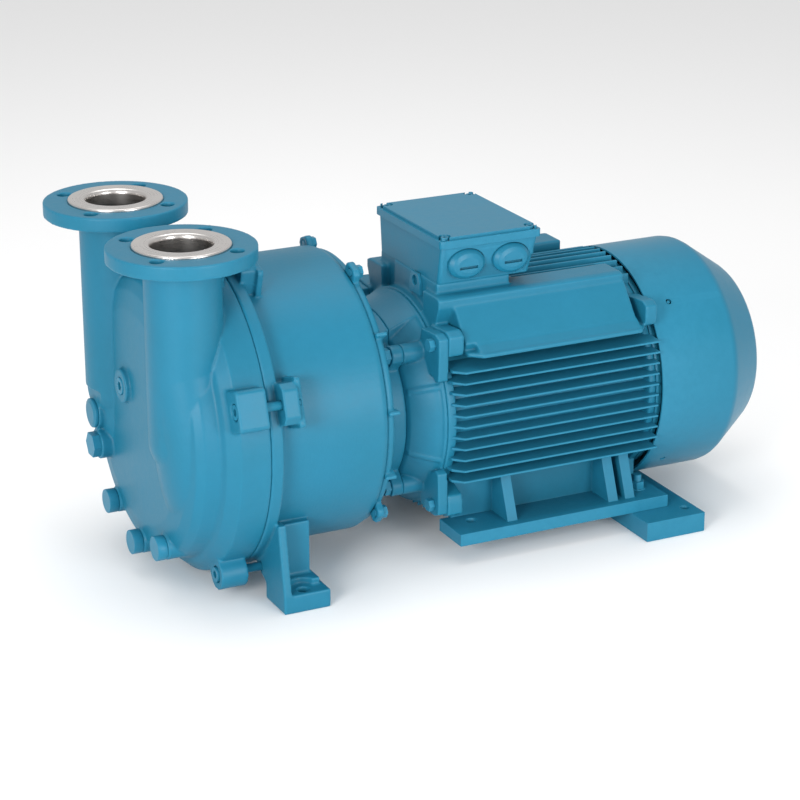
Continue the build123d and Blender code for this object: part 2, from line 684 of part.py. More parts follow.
def build_fan():
    """Radial cooling fan and its retaining clip."""
    with BuildPart() as fan:
        turned([(584, 20.03), (584, 32), (592, 34), (592, 118), (596, 118), (596, 34), (608, 32), (608, 20.03)], MZ)
        for k in range(8):
            rad = math.radians(45 * k)
            c, q = math.cos(rad), math.sin(rad)
            pts = [(a * c - b * q, MZ + a * q + b * c) for a, b in ((34, -2), (116, -2), (116, 2), (34, 2))]
            slab_yz(595, 632, pts)
        turned([(624, 0), (624, 60), (640, 30), (640, 0)], MZ, Mode.SUBTRACT)
        rod(608, 640, 33, mode=Mode.SUBTRACT)
    save(fan.part, "fan")
    with BuildPart() as fan_clip:
        turned([(611.1, 18.8), (611.1, 27), (612.9, 27), (612.9, 18.8)], MZ)
        block(611, 613, -4, 4, MZ + 10, MZ + 30, Mode.SUBTRACT)
    save(fan_clip.part, "fan_clip")


def build_cowl():
    """Fan cowl with conical rear, air grille and screws."""
    with BuildPart() as fan_cowl:
        turned([(COWL_X0, COWL_R - 2.5), (COWL_X0, COWL_R), (652, COWL_R), (658, 158.6), (663, 156.4), (668, 153),
                (716, 120), (720, 117), (COWL_X1, 112), (COWL_X1, 0), (COWL_X1 - 2.5, 0), (COWL_X1 - 2.5, 111),
                (718, 114.5), (714, 117.5), (666, 150.5), (661, 154), (657, 156), (652, 157)], MZ)
        for r in (100, 84, 68, 52, 36):
            turned([(COWL_X1 - 4, r - 6), (COWL_X1 - 4, r), (COWL_X1 + 1, r), (COWL_X1 + 1, r - 6)], MZ,
                   Mode.SUBTRACT)
        for k in range(8):
            rad = math.radians(45 * k + 22.5)
            c, q = math.cos(rad), math.sin(rad)
            pts = [(a * c - b * q, MZ + a * q + b * c) for a, b in ((10, -4), (108, -4), (108, 4), (10, 4))]
            slab_yz(COWL_X1 - 2.5, COWL_X1, pts)
        for deg in (45, 135, 225, 315):
            with Locations(Location((575, 0, MZ), (deg - 90, 0, 0))):
                with Locations((0, 0, COWL_R)):
                    Cylinder(3.2, 12, mode=Mode.SUBTRACT)
    save(fan_cowl.part, "fan_cowl")


def build_terminal_box():
    """Terminal box body, gasket, lid, screws, blanking plugs and board."""
    with BuildPart() as terminal_box:
        rings = []
        for z, x0, x1, y1 in ((BOX_Z0, BOX_X0 + 2, BOX_X1 - 12, BOX_Y - 11), (LID_Z0 - 1, BOX_X0 + 3, BOX_X1 - 3, BOX_Y - 4)):
            with BuildSketch(Plane.XY.offset(z)) as ring:
                with Locations(((x0 + x1) / 2, 0)):
                    RectangleRounded(x1 - x0, 2 * y1, 5)
            rings.append(ring.sketch.faces()[0])
        loft(rings)
        block(BOX_X0 + 14, BOX_X1 - 18, -BOX_Y + 18, BOX_Y - 18, BOX_Z0 + 5, LID_Z0, Mode.SUBTRACT)
        block(300, 330, -20, 20, BOX_Z0 - 1, BOX_Z0 + 6, Mode.SUBTRACT)
        for x, y in lid_corners():
            post(x, y, LID_Z0 - 24, LID_Z0 - 1, 5.5)
            post(x, y, LID_Z0 - 22, LID_Z0 + 1, 2.6, Mode.SUBTRACT)
        for x in PLUG_X:
            plug_seat(x, -BOX_Y + 16, 8, Mode.ADD)
            plug_seat(x, -BOX_Y + 8, 12, Mode.SUBTRACT)
            with Locations(Location((x, -BOX_Y + 10, PLUG_Z), (90, 0, 0))):
                Cylinder(15.6, 30, mode=Mode.SUBTRACT)
    save(terminal_box.part, "terminal_box")


def plug_seat(x, y, depth, mode):
    """Oval seat of one blanking plug on the near wall of the box."""
    with BuildSketch(Plane(origin=(x, y, PLUG_Z), x_dir=(1, 0, 0), z_dir=(0, -1, 0))) as seat:
        Ellipse(27.4, 20.9)
    extrude(seat.sketch, amount=depth, dir=(0, -1, 0), mode=mode)


def lid_corners():
    """Screw positions of the terminal box lid."""
    return [(x, y) for x in (BOX_X0 + 11.5, BOX_X1 - 11.5) for y in (-BOX_Y + 11.5, BOX_Y - 11.5)]


def build_box_fittings():
    """Gasket, lid, lid screws, blanking plugs, terminal board and studs."""
    mid = (BOX_X0 + BOX_X1) / 2
    with BuildPart() as lid_gasket:
        with BuildSketch(Plane.XY.offset(LID_Z0 - 1)) as flat:
            with Locations((mid, 0)):
                RectangleRounded(BOX_X1 - BOX_X0 - 9, 2 * BOX_Y - 11, 6)
        extrude(flat.sketch, amount=1, dir=(0, 0, 1))
        block(BOX_X0 + 17, BOX_X1 - 18, -BOX_Y + 19, BOX_Y - 19, LID_Z0 - 2, LID_Z0 + 1, Mode.SUBTRACT)
        for x, y in lid_corners():
            post(x, y, LID_Z0 - 3, LID_Z0 + 1, 3, Mode.SUBTRACT)
    save(lid_gasket.part, "lid_gasket")
    with BuildPart() as terminal_box_lid:
        with BuildSketch(Plane.XY.offset(LID_Z0)) as flat:
            with Locations((mid, 0)):
                RectangleRounded(BOX_X1 - BOX_X0, 2 * BOX_Y, 5)
        extrude(flat.sketch, amount=10, dir=(0, 0, 1))
        with BuildSketch(Plane.XY.offset(LID_Z0 + 10)) as raised:
            with Locations((mid, 0)):
                RectangleRounded(BOX_X1 - BOX_X0 - 8, 2 * BOX_Y - 8, 3)
        extrude(raised.sketch, amount=LID_Z1 - LID_Z0 - 10, dir=(0, 0, 1))
        block(BOX_X0 + 21, BOX_X1 - 21, -BOX_Y + 21, BOX_Y - 21, LID_Z0 - 1, LID_Z0 + 8, Mode.SUBTRACT)
        for x, y in lid_corners():
            post(x, y, LID_Z0 + 8, LID_Z1 + 1, 8, Mode.SUBTRACT)
            post(x, y, LID_Z0 - 1, LID_Z1 + 1, 3, Mode.SUBTRACT)
    save(terminal_box_lid.part, "terminal_box_lid")
    with BuildPart() as lid_screws:
        for x, y in lid_corners():
            post(x, y, LID_Z0 - 18, LID_Z0 + 8, 2.5)
            post(x, y, LID_Z0 + 8, LID_Z0 + 13, 5)
            hexagon_z(LID_Z0 + 10.5, LID_Z0 + 14, 5, x, y, Mode.SUBTRACT)
    save(lid_screws.part, "lid_screws")
    with BuildPart() as blanking_plugs:
        for x in PLUG_X:
            blanking_plug(x)
    save(blanking_plugs.part, "blanking_plugs")
    with BuildPart() as terminal_board:
        block(285, 345, -34, 34, BOX_Z0 + 5, BOX_Z0 + 15)
        for x in (298, 332):
            for y in (-24, 0, 24):
                post(x, y, BOX_Z0 + 14, BOX_Z0 + 30, 2.5)
                hexagon_z(BOX_Z0 + 15, BOX_Z0 + 20, 9, x, y)
    save(terminal_board.part, "terminal_board")


def blanking_plug(x):
    """Oval domed plug with a slot, screwed into the near wall of the terminal box."""
    with Locations(Location((x, -BOX_Y + 15, PLUG_Z), (90, 0, 0))):
        Cylinder(15.5, 14)
    rings = []
    for y, a, b in ((-BOX_Y + 8, 27, 20.5), (-BOX_Y + 3.5, 26, 19.5), (-BOX_Y - 1, 21, 15.5), (-BOX_Y - 2.5, 15, 10)):
        with BuildSketch(Plane(origin=(x, y, PLUG_Z), x_dir=(1, 0, 0), z_dir=(0, -1, 0))) as ring:
            Ellipse(a, b)
        rings.append(ring.sketch.faces()[0])
    loft(rings, ruled=True)
    block(x - 13, x + 13, -BOX_Y - 4, -BOX_Y + 1, PLUG_Z - 5, PLUG_Z - 1.5, Mode.SUBTRACT)


def build_motor_feet():
    """Near and far motor feet: plate, upright wall and gussets."""
    for s, name in ((-1, "motor_foot_near"), (1, "motor_foot_far")):
        with BuildPart() as motor_foot:
            block(236, 552, min(s * 104, s * FOOT_Y1), max(s * 104, s * FOOT_Y1), BAR_H, BAR_H + FOOT_T)
            block(251, 519, min(s * 100, s * 108), max(s * 100, s * 108), BAR_H, MZ - 77)
            for x in (312, 466, 492):
                slab_yz(x, x + 15, [(s * 106, MZ - 77), (s * 128, MZ - 77), (s * 154, BAR_H + FOOT_T),
                                    (s * 106, BAR_H + FOOT_T)])
            rod(230, 560, FRAME_R + 0.02, mode=Mode.SUBTRACT)
            for k in range(2):
                hx = FOOT_X + k * FOOT_B
                post(hx, s * FOOT_A / 2, 0, 60, 7.5, Mode.SUBTRACT)
        save(motor_foot.part, name)


def build_sole_bar():
    """Cross bar below the rear motor feet, with its bolts and nuts."""
    bolt_x = FOOT_X + FOOT_B
    with BuildPart() as sole_bar:
        block(BAR_X0, BAR_X1, -BAR_Y, BAR_Y, 0, BAR_H)
        for s in (-1, 1):
            post(BAR_HOLE_X, s * BAR_HOLE_Y, -1, BAR_H + 1, 6.5, Mode.SUBTRACT)
            post(bolt_x, s * FOOT_A / 2, -1, BAR_H + 1, 6.2, Mode.SUBTRACT)
            post(bolt_x, s * FOOT_A / 2, -1, 9, 13, Mode.SUBTRACT)
    save(sole_bar.part, "sole_bar")
    with BuildPart() as foot_bolts:
        for s in (-1, 1):
            post(bolt_x, s * FOOT_A / 2, 9, 65, 6)
            post(bolt_x, s * FOOT_A / 2, 1, 9, 11)
    save(foot_bolts.part, "foot_bolts")
    with BuildPart() as foot_nuts:
        for s in (-1, 1):
            z0 = BAR_H + FOOT_T
            post(bolt_x, s * FOOT_A / 2, z0, z0 + 2, 12)
            hexagon_z(z0 + 2, z0 + 12, 19, bolt_x, s * FOOT_A / 2)
            post(bolt_x, s * FOOT_A / 2, z0 - 1, z0 + 13, 6.05, Mode.SUBTRACT)
    save(foot_nuts.part, "foot_nuts")


def build_small_parts():
    """Lifting lug and the screws of the fan cowl."""
    with BuildPart() as lifting_lug:
        slab_yz(236, 239.8, [(-44, 336), (-14, 336), (-14, 352), (-20, 364), (-38, 364), (-44, 352)])
        rod(235, 241, 7, -29, 353, Mode.SUBTRACT)
    save(lifting_lug.part, "lifting_lug")
    with BuildPart() as cowl_screws:
        for deg in (45, 135, 225, 315):
            with Locations(Location((575, 0, MZ), (deg - 90, 0, 0))):
                with Locations((0, 0, COWL_R - 5)):
                    Cylinder(2.5, 8)
    save(cowl_screws.part, "cowl_screws")


build_front_cover()
build_port_rings()
build_casing()
build_cover_seal()
build_port_plate()
build_valve_plate()
build_impeller()
build_impeller_fixings()
build_shaft()
build_seal()
build_drive_cover()
build_drive_cover_fixings()
build_tie_bolts()
build_plugs()
build_drive_shield()
build_bearing("drive", 206, 229, 22.5, 50, 8.5, 8)
build_bearing("rear", 513, 532, 22.5, 42.5, 6.2, 9)
build_motor_frame()
build_shield_bolts()
build_rear_shield()
build_stator()
build_rotor_core()
build_fan()
build_cowl()
build_terminal_box()
build_box_fittings()
build_motor_feet()
build_sole_bar()
build_small_parts()
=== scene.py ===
import math

import bmesh
import bpy
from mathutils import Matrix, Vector


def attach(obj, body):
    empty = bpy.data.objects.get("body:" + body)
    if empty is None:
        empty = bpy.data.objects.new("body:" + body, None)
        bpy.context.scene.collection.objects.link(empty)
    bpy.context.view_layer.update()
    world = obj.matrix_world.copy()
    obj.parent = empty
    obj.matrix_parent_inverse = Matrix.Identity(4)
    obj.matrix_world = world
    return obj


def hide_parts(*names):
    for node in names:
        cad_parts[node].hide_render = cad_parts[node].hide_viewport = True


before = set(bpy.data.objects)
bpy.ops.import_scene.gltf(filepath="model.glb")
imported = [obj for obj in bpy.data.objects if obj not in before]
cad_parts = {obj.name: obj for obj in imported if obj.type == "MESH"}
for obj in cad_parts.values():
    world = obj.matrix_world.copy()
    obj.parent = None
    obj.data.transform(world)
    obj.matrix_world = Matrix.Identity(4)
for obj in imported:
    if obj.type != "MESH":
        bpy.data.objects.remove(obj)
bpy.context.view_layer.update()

# Studio floor: one wide pale sheet of paper under the pump, a little rough,
# so that it takes a soft shadow.
floor_mesh = bpy.data.meshes.new("floor")
floor_form = bmesh.new()
for x, y in ((-30, -30), (30, -30), (30, 30), (-30, 30)):
    floor_form.verts.new((x, y, 0))
floor_form.faces.new(floor_form.verts)
floor_form.to_mesh(floor_mesh)
floor = bpy.data.objects.new("floor", floor_mesh)
bpy.context.scene.collection.objects.link(floor)
floor_paper = bpy.data.materials.new("floor_paper")
floor_paper.use_nodes = True
paper = floor_paper.node_tree.nodes["Principled BSDF"]
paper.inputs["Base Color"].default_value = (0.93, 0.93, 0.93, 1)
paper.inputs["Roughness"].default_value = 0.9
paper.inputs["Specular IOR Level"].default_value = 0.1
floor_mesh.materials.append(floor_paper)

# Studio light: a white room, one large soft lamp beside the camera, a weaker
# one from the right and a little light from above.
studio = bpy.data.worlds.new("studio")
bpy.context.scene.world = studio
studio.use_nodes = True
studio.node_tree.nodes["Background"].inputs["Color"].default_value = (1, 1, 1, 1)
studio.node_tree.nodes["Background"].inputs["Strength"].default_value = 0.72


def soft_lamp(name, place, aim, size, power):
    """Square lamp at a place, turned toward aim."""
    lamp = bpy.data.lights.new(name, "AREA")
    lamp.size = size
    lamp.energy = power
    stand = bpy.data.objects.new(name, lamp)
    stand.location = place
    stand.rotation_euler = (Vector(aim) - Vector(place)).to_track_quat("-Z", "Y").to_euler()
    bpy.context.scene.collection.objects.link(stand)


soft_lamp("lamp_left", (-2.6, -2.3, 1.3), (0.1, 0, 0.2), 1.2, 90)
soft_lamp("lamp_front", (0.9, -3.4, 0.9), (0.3, 0, 0.2), 1.2, 60)
soft_lamp("lamp_top", (0.3, 0.5, 2.6), (0.3, 0, 0.2), 2.0, 26)

# Camera: a long lens, from the front left and a little above, as the
# photograph was taken.
camera = bpy.data.objects.new("camera", bpy.data.cameras.new("camera"))
camera.data.lens = 113.5
camera.data.sensor_width = 36
camera.location = (-1.1700, -2.8437, 1.3328)
camera.rotation_euler = (math.radians(90 - 20.02), 0, math.radians(-26.2))
bpy.context.scene.collection.objects.link(camera)
bpy.context.scene.camera = camera
bpy.context.scene.view_settings.view_transform = "Standard"

# Paint: one sprayed coat of blue machine enamel over everything but the port
# rings. It clouds a little and keeps the skin of the casting under it; corners
# and hollows get painted shade and edges a painted highlight.


def effect(name, takes, gives):
    """New shader node group with named sockets, and its two end nodes."""
    group = bpy.data.node_groups.new(name, "ShaderNodeTree")
    for label, kind, value in takes:
        group.interface.new_socket(label, in_out="INPUT", socket_type=kind).default_value = value
    for label, kind in gives:
        group.interface.new_socket(label, in_out="OUTPUT", socket_type=kind)
    return group, group.nodes.new("NodeGroupInput"), group.nodes.new("NodeGroupOutput")


def put(tree, kind, settings=(), links=()):
    """New node with its settings and the sockets that feed it."""
    node = tree.nodes.new(kind)
    for key, value in dict(settings).items():
        if key in node.inputs:
            node.inputs[key].default_value = value
        else:
            setattr(node, key, value)
    for key, socket in dict(links).items():
        tree.links.new(socket, node.inputs[key])
    return node


def spread(tree, socket, low, high, start=0.0, end=1.0):
    """Value moved from the range start..end to low..high."""
    settings = {"From Min": start, "From Max": end, "To Min": low, "To Max": high}
    return put(tree, "ShaderNodeMapRange", settings, {"Value": socket}).outputs["Result"]


def join(tree, first, second, operation="MULTIPLY"):
    """Two values multiplied, or joined by another sum."""
    node = put(tree, "ShaderNodeMath", {"operation": operation})
    for place, value in enumerate((first, second)):
        if isinstance(value, (int, float)):
            node.inputs[place].default_value = value
        else:
            tree.links.new(value, node.inputs[place])
    return node.outputs["Value"]


def tint(tree, share, first, second):
    """Colour between two, by a share from 0 to 1."""
    node = put(tree, "ShaderNodeMix", {"data_type": "RGBA"})
    for place, value in ((0, share), (6, first), (7, second)):
        if isinstance(value, (int, float, tuple)):
            node.inputs[place].default_value = value
        else:
            tree.links.new(value, node.inputs[place])
    return node.outputs[2]


def cloudy(tree, scale, detail, rough=0.55):
    """Cloudy pattern in the piece's own space."""
    place = tree.nodes.new("ShaderNodeTexCoord").outputs["Object"]
    settings = {"Scale": scale, "Detail": detail, "Roughness": rough}
    return put(tree, "ShaderNodeTexNoise", settings, {"Vector": place}).outputs["Fac"]


COLOUR = "NodeSocketColor"
VALUE = "NodeSocketFloat"
# The second colour input is a lighter blue laid on convex edges as a painted highlight; the amount input sets how
# strong that painted highlight is.
# The third colour input is a darker blue laid in corners and hollows as painted shade.
paint_coat_and_painted_light, paint_in, paint_out = effect(
    "paint_coat_and_painted_light",
    [("Colour", COLOUR, (0.01, 0.14, 0.23, 1)), ("Thin", COLOUR, (0.04, 0.2, 0.3, 1)),
     ("Painted_shade", COLOUR, (0.005, 0.06, 0.1, 1)), ("Roughness", VALUE, 0.42),
     ("Casting", VALUE, 1.0), ("Painted_highlight_amount", VALUE, 0.5)],
    [("Colour", COLOUR), ("Roughness", VALUE), ("Height", VALUE)])
cloud = cloudy(paint_coat_and_painted_light, 9, 3)
speck = cloudy(paint_coat_and_painted_light, 90, 5, 0.65)
bright = join(paint_coat_and_painted_light, spread(paint_coat_and_painted_light, cloud, 0.90, 1.10), spread(paint_coat_and_painted_light, speck, 0.95, 1.05))
clouded = put(paint_coat_and_painted_light, "ShaderNodeHueSaturation", {"Saturation": 1.0},
              {"Color": paint_in.outputs["Colour"], "Value": bright, "Hue": spread(paint_coat_and_painted_light, cloud, 0.497, 0.503)})
bend = paint_coat_and_painted_light.nodes.new("ShaderNodeNewGeometry").outputs["Pointiness"]
# Painted highlight: convex edges (high pointiness) are lightened toward the lighter blue.
edge_highlight_mask = join(paint_coat_and_painted_light, spread(paint_coat_and_painted_light, bend, 0, 1, 0.515, 0.58), spread(paint_coat_and_painted_light, speck, 0.2, 1.4))
with_edge_highlight = tint(paint_coat_and_painted_light, join(paint_coat_and_painted_light, edge_highlight_mask, paint_in.outputs["Painted_highlight_amount"]), clouded.outputs["Color"],
               paint_in.outputs["Thin"])
# Painted shade: concave corners and hollows (low pointiness) are darkened toward the darker blue.
corner_shade_mask = join(paint_coat_and_painted_light, spread(paint_coat_and_painted_light, bend, 0.8, 0, 0.42, 0.49), spread(paint_coat_and_painted_light, speck, 0.6, 1.2))
paint_coat_and_painted_light.links.new(tint(paint_coat_and_painted_light, corner_shade_mask, with_edge_highlight, paint_in.outputs["Painted_shade"]), paint_out.inputs["Colour"])
uneven = join(paint_coat_and_painted_light, spread(paint_coat_and_painted_light, speck, -0.06, 0.08), spread(paint_coat_and_painted_light, cloud, -0.04, 0.04), "ADD")
paint_coat_and_painted_light.links.new(join(paint_coat_and_painted_light, uneven, paint_in.outputs["Roughness"], "ADD"), paint_out.inputs["Roughness"])
sand = join(paint_coat_and_painted_light, cloudy(paint_coat_and_painted_light, 260, 4, 0.6), paint_in.outputs["Casting"])
peel = join(paint_coat_and_painted_light, cloudy(paint_coat_and_painted_light, 620, 2), 0.35)
wave = join(paint_coat_and_painted_light, join(paint_coat_and_painted_light, cloudy(paint_coat_and_painted_light, 22, 2), paint_in.outputs["Casting"]), 1.6)
paint_coat_and_painted_light.links.new(join(paint_coat_and_painted_light, join(paint_coat_and_painted_light, sand, peel, "ADD"), wave, "ADD"), paint_out.inputs["Height"])


def painted(name, colour, roughness, casting, painted_highlight_amount):
    """Blue enamel over one kind of surface, with painted shade in hollows and a painted highlight on edges."""
    material = bpy.data.materials.new(name)
    material.use_nodes = True
    tree = material.node_tree
    shader = tree.nodes["Principled BSDF"]
    coat = put(tree, "ShaderNodeGroup", {"node_tree": paint_coat_and_painted_light})
    coat.inputs["Colour"].default_value = colour + (1,)
    # Lighter copy of the blue, used for the painted edge highlight.
    coat.inputs["Thin"].default_value = tuple(c * 1.35 + 0.012 for c in colour) + (1,)
    # Darker copy of the blue, used for the painted shade in hollows.
    coat.inputs["Painted_shade"].default_value = tuple(c * 0.45 for c in colour) + (1,)
    coat.inputs["Roughness"].default_value = roughness
    coat.inputs["Casting"].default_value = casting
    coat.inputs["Painted_highlight_amount"].default_value = painted_highlight_amount
    skin = put(tree, "ShaderNodeBump", {"Strength": 0.3, "Distance": 0.0005}, {"Height": coat.outputs["Height"]})
    tree.links.new(coat.outputs["Colour"], shader.inputs["Base Color"])
    tree.links.new(coat.outputs["Roughness"], shader.inputs["Roughness"])
    tree.links.new(skin.outputs["Normal"], shader.inputs["Normal"])
    shader.inputs["Specular IOR Level"].default_value = 0.24
    return material


BLUE = (0.0105, 0.150, 0.245)
# The last number of each paint is the strength of its painted edge highlight.
cast_paint = painted("paint_on_casting", BLUE, 0.42, 1.0, 0.5)
machined_paint = painted("paint_on_machined", BLUE, 0.36, 0.35, 0.5)
sheet_paint = painted("paint_on_sheet", BLUE, 0.34, 0.15, 0.4)
bolt_paint = painted("paint_on_bolts", BLUE, 0.38, 0.5, 0.8)


def prism(form, axis, low, high, outline):
    """Flat outline drawn out along an axis, in millimetres, added to a form."""
    order = {"X": (2, 0, 1), "Y": (0, 2, 1), "Z": (0, 1, 2)}[axis]
    ends = []
    for along in (low, high):
        loop = []
        for a, b in outline:
            spot = (a, b, along)
            loop.append(form.verts.new([spot[i] / 1000 for i in order]))
        ends.append(loop)
    form.faces.new(ends[0])
    form.faces.new(ends[1][::-1])
    for i in range(len(outline)):
        k = (i + 1) % len(outline)
        form.faces.new((ends[0][i], ends[1][i], ends[1][k], ends[0][k]))


def turning(form, outline, height, steps=120, side=0.0):
    """Outline of (x, radius) points turned about a line along X, added to a form."""
    rings = []
    for x, r in outline:
        ring = []
        for i in range(1 if r == 0 else steps):
            turn = 2 * math.pi * i / steps
            ring.append(form.verts.new((x / 1000, (side + r * math.cos(turn)) / 1000, (height + r * math.sin(turn)) / 1000)))
        rings.append(ring)
    for i, ring in enumerate(rings):
        after = rings[(i + 1) % len(rings)]
        if len(ring) == 1 and len(after) == 1:
            continue
        for k in range(steps):
            corners = [ring[k % len(ring)], ring[(k + 1) % len(ring)], after[(k + 1) % len(after)], after[k % len(after)]]
            form.faces.new(list(dict.fromkeys(corners)))


def piece_of(name, form, material, body):
    """Object made of a finished form, riding on a body."""
    bmesh.ops.recalc_face_normals(form, faces=form.faces)
    mesh = bpy.data.meshes.new(name)
    form.to_mesh(mesh)
    form.free()
    mesh.materials.append(material)
    piece = bpy.data.objects.new(name, mesh)
    bpy.context.scene.collection.objects.link(piece)
    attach(piece, body)
    return piece


def ease(piece, edge, segments=3, angle=30):
    """Rounds the sharp edges of a piece by edge millimetres."""
    soft = piece.modifiers.new("soft", "BEVEL")
    soft.width = edge / 1000
    soft.segments = segments
    soft.limit_method = "ANGLE"
    soft.angle_limit = math.radians(angle)
    shade(piece, angle + 6)


def shade(piece, angle=36):
    """Smooth shading that stops at corners sharper than the angle."""
    for face in piece.data.polygons:
        face.use_smooth = True
    even = piece.modifiers.new("even", "WEIGHTED_NORMAL")
    even.keep_sharp = True
    even.weight = 80
    sharp = bmesh.new()
    sharp.from_mesh(piece.data)
    for edge in sharp.edges:
        edge.smooth = len(edge.link_faces) == 2 and edge.calc_face_angle(0) < math.radians(angle)
    sharp.to_mesh(piece.data)
    sharp.free()


def sand_cast(name, form, body, grain, passes, material, *nodes):
    """Form fused and rubbed down as from a sand mould, standing for CAD nodes."""
    block = piece_of(name, form, material, body)
    melt = block.modifiers.new("melt", "REMESH")
    melt.mode = "VOXEL"
    melt.voxel_size = grain / 1000
    rub = block.modifiers.new("rub", "SMOOTH")
    rub.factor = 0.5
    rub.iterations = passes
    shaped = bpy.data.meshes.new_from_object(block.evaluated_get(bpy.context.evaluated_depsgraph_get()))
    block.modifiers.clear()
    block.data = shaped
    shaped.name = name
    for face in shaped.polygons:
        face.use_smooth = True
        face.material_index = 0
    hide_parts(*nodes)
    print("PIECE", name, len(shaped.polygons))
    return block


def cad_form(node):
    """Copy of a CAD node's shape, to work on."""
    form = bmesh.new()
    form.from_mesh(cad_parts[node].data)
    bmesh.ops.remove_doubles(form, verts=form.verts, dist=0.00001)
    return form


def finish(name, material, edge=0.6, angle=32):
    """Gives a CAD piece its finish and breaks its sharp edges by edge millimetres."""
    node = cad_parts[name]
    node.data.materials.clear()
    node.data.materials.append(material)
    weld = node.modifiers.new("weld", "WELD")
    weld.merge_threshold = 0.00002
    flat = node.modifiers.new("flat", "DECIMATE")
    flat.decimate_type = "DISSOLVE"
    flat.angle_limit = math.radians(1.0)
    if edge > 0:
        soft = node.modifiers.new("soft", "BEVEL")
        soft.width = edge / 1000
        soft.segments = 2
        soft.limit_method = "ANGLE"
        soft.angle_limit = math.radians(angle)
        soft.harden_normals = True
    return node


# Front cover of the pump: one iron casting with a dished face, two swellings
# below the port pipes, plug bosses and bolt lugs; only the flanges are machined.
cover = cad_form("front_cover")
sand_cast("cover_casting", cover, "housing", 1.7, 3, cast_paint, "front_cover")

# Casing: iron ring casting with bolt lugs and both pump feet, clamped between
# the front cover and the drive side cover.
sand_cast("casing_casting", cad_form("casing_body"), "housing", 1.7, 3, cast_paint, "casing_body")

# Drive side cover: iron casting that closes the casing and carries the neck to
# the motor, with thin ribs and four bolt bosses round it.
sand_cast("neck_casting", cad_form("drive_cover"), "housing", 1.7, 3, cast_paint, "drive_cover")

# Drive end shield: bell shaped iron casting between neck and motor frame, with
# thin ribs and a bolted ear at each corner.
sand_cast("bell_casting", cad_form("drive_end_shield"), "housing", 1.5, 3, cast_paint, "drive_end_shield")

# Motor frame: thin walled iron casting. The barrel, terminal box seat, sloping
# shoulders and bolt lugs are one rounded body; the cooling fins stand on it.
AXIS = 187
frame_body = bmesh.new()
turning(frame_body, [(228, 127), (228, 145), (240, 145), (242, 134), (526, 134), (528, 149), (538, 149), (538, 127)],
        AXIS)
for s in (-1, 1):
    prism(frame_body, "X", 254, 508, [(s * 96, 276), (s * 132, 280), (s * 140, 295), (s * 107, 336), (s * 100, 339),
                                      (s * 60, 330), (s * 60, 290)])
    prism(frame_body, "X", 232, 506, [(s * 60, 290), (s * 92, 300), (s * 107, 336), (s * 107, 346), (s * 100, 349),
                                      (s * 60, 349)])
    prism(frame_body, "Z", 278, 284, [(256, s * 90), (256, s * 142), (272, s * 157), (508, s * 157), (520, s * 142),
                                      (520, s * 90)])
    prism(frame_body, "X", 270, 510, [(s * 120, 282), (s * 154, 283.5), (s * 139, 294), (s * 120, 294)])
    for t in (-1, 1):
        y, z = s * 127, AXIS + t * 110
        lug = [(s * 90, z - t * 26), (s * 120, z - t * 22), (s * 143, z - t * 14), (s * 145, z - t * 4),
               (s * 145, z + t * 12), (s * 134, z + t * 18), (s * 90, z + t * 14)]
        prism(frame_body, "X", 228, 250, lug)
        if t > 0:
            prism(frame_body, "X", 520, 538, lug)
prism(frame_body, "Y", -86, 40, [(240, 300), (346, 300), (346, 362), (240, 362)])
prism(frame_body, "Y", 39, 86, [(243, 300), (346, 300), (346, 362), (243, 362)])
prism(frame_body, "X", 346, 368, [(-86, 290), (86, 290), (86, 346), (-86, 346)])
sand_cast("frame_casting", frame_body, "housing", 1.8, 4, cast_paint, "motor_frame")


def fin_edge(form, x0, x1, foot, tip, place, side):
    """One cooling fin: thick at its foot, thin at its tip, nose cut back."""
    rows = []
    for x, y in ((x0, foot), (x0 + 3, tip - 13), (x0 + 16, tip), (x1, tip), (x1, foot)):
        half = 1.45 + 0.028 * (tip - y)
        rows.append([form.verts.new([v / 1000 for v in side(x, y, place + h)]) for h in (-half, half)])
    form.faces.new([a for a, b in rows])
    form.faces.new([b for a, b in rows][::-1])
    for i, (a, b) in enumerate(rows):
        c, d = rows[(i + 1) % len(rows)]
        form.faces.new((a, b, d, c))


fins = bmesh.new()
for k in range(-5, 6):
    for s in (-1, 1):
        fin_edge(fins, 230, 537.5, 95, 157, AXIS + 15 * k, lambda x, y, z, s=s: (x, s * y, z))
for k in range(10):
    across = -67.5 + 15 * k
    prism(fins, "X", 368, 537.5, [(across - 2.4, 300), (across + 2.4, 300),
                                  (across + 1.5, AXIS + math.sqrt(161 ** 2 - across ** 2) - 1),
                                  (across - 1.5, AXIS + math.sqrt(161 ** 2 - across ** 2) - 1)])
for k in range(14):
    across = -97.5 + 15 * k
    low = 42 + 0.0012 * across ** 2
    prism(fins, "X", 230, 537.5, [(across - 2.4, 105), (across + 2.4, 105), (across + 1.5, low), (across - 1.5, low)])
frame_fins = piece_of("frame_fins", fins, cast_paint, "housing")
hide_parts("motor_frame")
ease(frame_fins, 0.9, 2)

